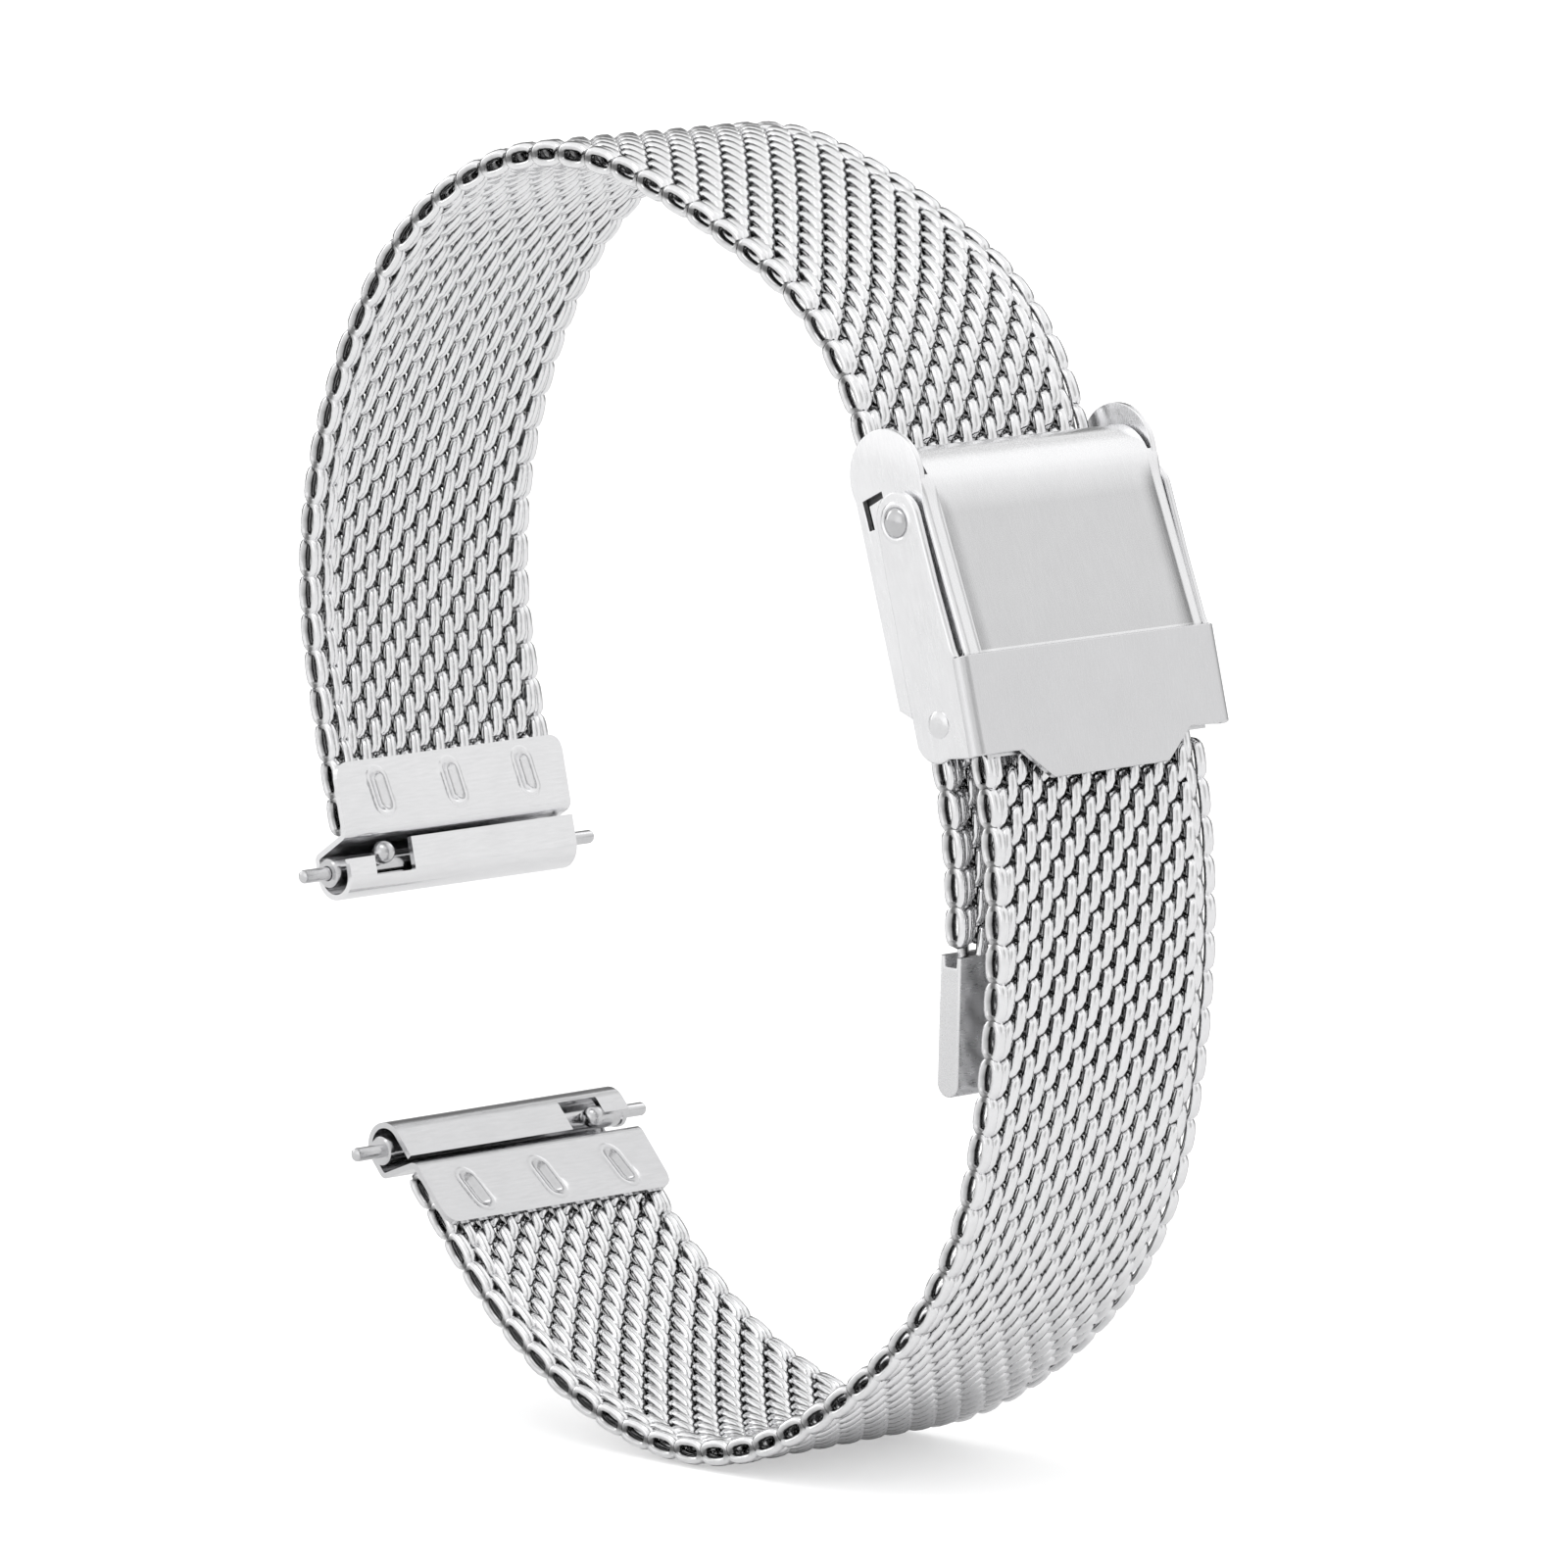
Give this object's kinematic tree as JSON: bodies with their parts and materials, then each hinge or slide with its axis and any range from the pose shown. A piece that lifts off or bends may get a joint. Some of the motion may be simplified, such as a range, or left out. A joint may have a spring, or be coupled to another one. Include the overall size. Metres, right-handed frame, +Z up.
{
  "type": "mesh watch band",
  "caption": "Woven steel watch band in two straps, with spring bar end links and a sliding box clasp closed by a hinged flap.",
  "frame": {"origin": "middle of the long strap's spring bar, on its axis", "axes": "+Y along both spring bars, away from the release knob of the upper bar; +Z up, from the spring bar along the long strap; +X towards the clasp"},
  "size_m": [0.0561, 0.0228, 0.0733],
  "materials": {
    "mesh_wire": "satin wire",
    "link_sheet": "fine brushed sheet",
    "clasp_sheet": "fine brushed sheet",
    "bar_steel": "polished"
  },
  "bodies": {
    "upper_link": {"end_link_long": "link_sheet", "bar_tube_long": "bar_steel", "bar_tip_long": "bar_steel", "mesh_long_1": "mesh_wire"},
    "upper_plunger": {"bar_plunger_long": "bar_steel"},
    "long_2": {"mesh_long_2": "mesh_wire"},
    "long_3": {"mesh_long_3": "mesh_wire"},
    "long_4": {"mesh_long_4": "mesh_wire"},
    "long_5": {"mesh_long_5": "mesh_wire"},
    "long_6": {"mesh_long_6": "mesh_wire"},
    "long_7": {"mesh_long_7": "mesh_wire"},
    "clasp_mesh": {"mesh_clasp": "mesh_wire"},
    "tail": {"mesh_tail": "mesh_wire", "tail_cap": "clasp_sheet"},
    "box": {"clasp_box": "clasp_sheet", "pivot_pins": "bar_steel"},
    "lock": {"lock_plate": "clasp_sheet"},
    "flap": {"flap": "clasp_sheet", "cross_bar": "clasp_sheet"},
    "hook": {"strap_hook": "clasp_sheet", "mesh_short_1": "mesh_wire"},
    "short_2": {"mesh_short_2": "mesh_wire"},
    "short_3": {"mesh_short_3": "mesh_wire"},
    "short_4": {"mesh_short_4": "mesh_wire"},
    "short_5": {"mesh_short_5": "mesh_wire"},
    "short_6": {"mesh_short_6": "mesh_wire"},
    "lower_link": {"mesh_short_7": "mesh_wire", "end_link_short": "link_sheet", "bar_tube_short": "bar_steel", "bar_tip_short": "bar_steel"},
    "lower_plunger": {"bar_plunger_short": "bar_steel"}
  },
  "joints": [
    {"name": "upper_knob", "type": "slide", "parent": "upper_link", "child": "upper_plunger", "axis": [0, 1, 0], "range_m": [0, 0.0013], "stiffness_N_per_m": 500, "springref_m": -0.002},
    {"name": "long_flex_2", "type": "hinge", "parent": "upper_link", "child": "long_2", "pos_m": [-0.00228, 0, 0.01195], "axis": [0, -1, 0], "range_deg": [-1, 14]},
    {"name": "long_flex_3", "type": "hinge", "parent": "long_2", "child": "long_3", "pos_m": [-0.00177, 0, 0.02351], "axis": [0, -1, 0], "range_deg": [-1, 14]},
    {"name": "long_flex_4", "type": "hinge", "parent": "long_3", "child": "long_4", "pos_m": [0.00313, 0, 0.03402], "axis": [0, -1, 0], "range_deg": [-1, 14]},
    {"name": "long_flex_5", "type": "hinge", "parent": "long_4", "child": "long_5", "pos_m": [0.01224, 0, 0.04101], "axis": [0, -1, 0], "range_deg": [-1, 14]},
    {"name": "long_flex_6", "type": "hinge", "parent": "long_5", "child": "long_6", "pos_m": [0.02369, 0, 0.04131], "axis": [0, -1, 0], "range_deg": [-1, 14]},
    {"name": "long_flex_7", "type": "hinge", "parent": "long_6", "child": "long_7", "pos_m": [0.0344, 0, 0.03676], "axis": [0, -1, 0], "range_deg": [-1, 14]},
    {"name": "clasp_flex", "type": "hinge", "parent": "long_7", "child": "clasp_mesh", "pos_m": [0.04173, 0, 0.02803], "axis": [0, -1, 0], "range_deg": [-1, 8]},
    {"name": "tail_flex", "type": "hinge", "parent": "clasp_mesh", "child": "tail", "pos_m": [0.04782, 0, 0.00995], "axis": [0, 1, 0], "range_deg": [0, 6]},
    {"name": "box_slide", "type": "slide", "parent": "clasp_mesh", "child": "box", "axis": [0.3256, 0, -0.9455], "range_m": [0, 0.0015]},
    {"name": "lock_turn", "type": "hinge", "parent": "box", "child": "lock", "pos_m": [0.04272, 0, 0.02456], "axis": [0, 1, 0], "range_deg": [0, 55]},
    {"name": "flap_turn", "type": "hinge", "parent": "box", "child": "flap", "pos_m": [0.04585, 0, 0.02405], "axis": [0, -1, 0], "range_deg": [0, 75]},
    {"name": "hook_turn", "type": "hinge", "parent": "flap", "child": "hook", "pos_m": [0.04912, 0, 0.01333], "axis": [0, 1, 0], "range_deg": [0, 3]},
    {"name": "short_flex_2", "type": "hinge", "parent": "hook", "child": "short_2", "pos_m": [0.05169, 0, -0.00017], "axis": [0, -1, 0], "range_deg": [-1, 14]},
    {"name": "short_flex_3", "type": "hinge", "parent": "short_2", "child": "short_3", "pos_m": [0.05007, 0, -0.0117], "axis": [0, -1, 0], "range_deg": [-1, 14]},
    {"name": "short_flex_4", "type": "hinge", "parent": "short_3", "child": "short_4", "pos_m": [0.04432, 0, -0.02166], "axis": [0, -1, 0], "range_deg": [-1, 14]},
    {"name": "short_flex_5", "type": "hinge", "parent": "short_4", "child": "short_5", "pos_m": [0.0347, 0, -0.02815], "axis": [0, -1, 0], "range_deg": [-1, 14]},
    {"name": "short_flex_6", "type": "hinge", "parent": "short_5", "child": "short_6", "pos_m": [0.0233, 0, -0.02915], "axis": [0, -1, 0], "range_deg": [-1, 14]},
    {"name": "short_flex_7", "type": "hinge", "parent": "short_6", "child": "lower_link", "pos_m": [0.01294, 0, -0.02399], "axis": [0, -1, 0], "range_deg": [-1, 14]},
    {"name": "lower_knob", "type": "slide", "parent": "lower_link", "child": "lower_plunger", "axis": [0, -1, 0], "range_m": [0, 0.0013], "stiffness_N_per_m": 500, "springref_m": -0.002}
  ]
}
